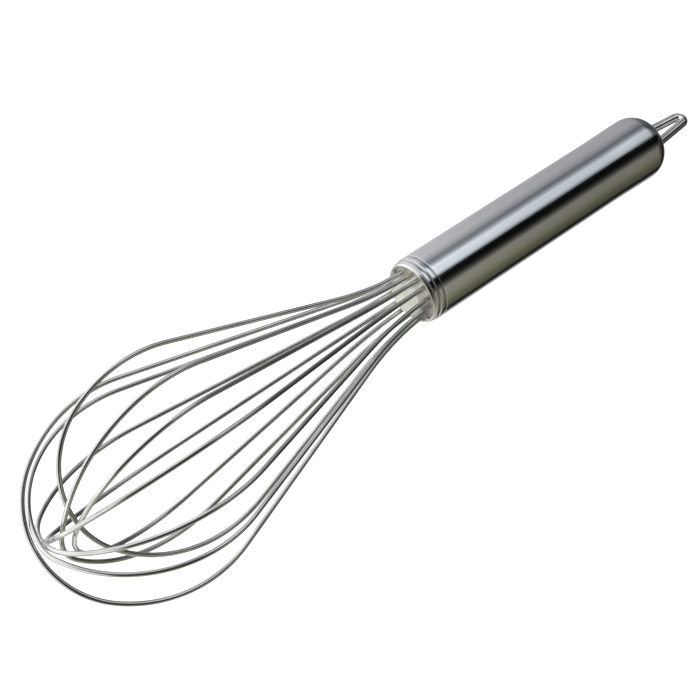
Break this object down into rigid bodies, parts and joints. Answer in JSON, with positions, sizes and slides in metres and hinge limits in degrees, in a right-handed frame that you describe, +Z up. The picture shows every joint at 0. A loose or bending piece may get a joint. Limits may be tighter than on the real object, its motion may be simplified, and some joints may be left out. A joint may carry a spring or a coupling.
{
  "type": "balloon whisk",
  "caption": "Balloon whisk: nested spring-wire loops in a brushed steel tube handle with a beaded neck, a domed butt and a small fixed hanging eye.",
  "frame": {"origin": "on the surface the whisk lies on, below the centre of its bounding box, resting on two wire loops and the rim of the butt", "axes": "+X along the whisk's length towards the butt and its hanging eye, +Z up, +Y completes a right-handed frame"},
  "size_m": [0.3108, 0.0736, 0.0696],
  "materials": {
    "brushed_tube": "lengthwise brushed",
    "bright_lip": "polished",
    "polished_eye": "polished",
    "spring_wire": "bright drawn wire",
    "plug": "satin",
    "compound": "matt",
    "plain_steel": "plain"
  },
  "bodies": {
    "root": {"handle_tube": "brushed_tube", "end_cap": "brushed_tube", "mouth_ferrule": "bright_lip", "hanging_loop": "polished_eye", "loop_washer": "plain_steel", "stop_disc": "plain_steel", "core_plug": "plug", "sealing_fill": "compound", "wire_loop_1": "spring_wire", "wire_loop_2": "spring_wire", "wire_loop_3": "spring_wire", "wire_loop_4": "spring_wire", "wire_loop_5": "spring_wire", "wire_loop_6": "spring_wire", "wire_loop_7": "spring_wire"}
  },
  "joints": []
}
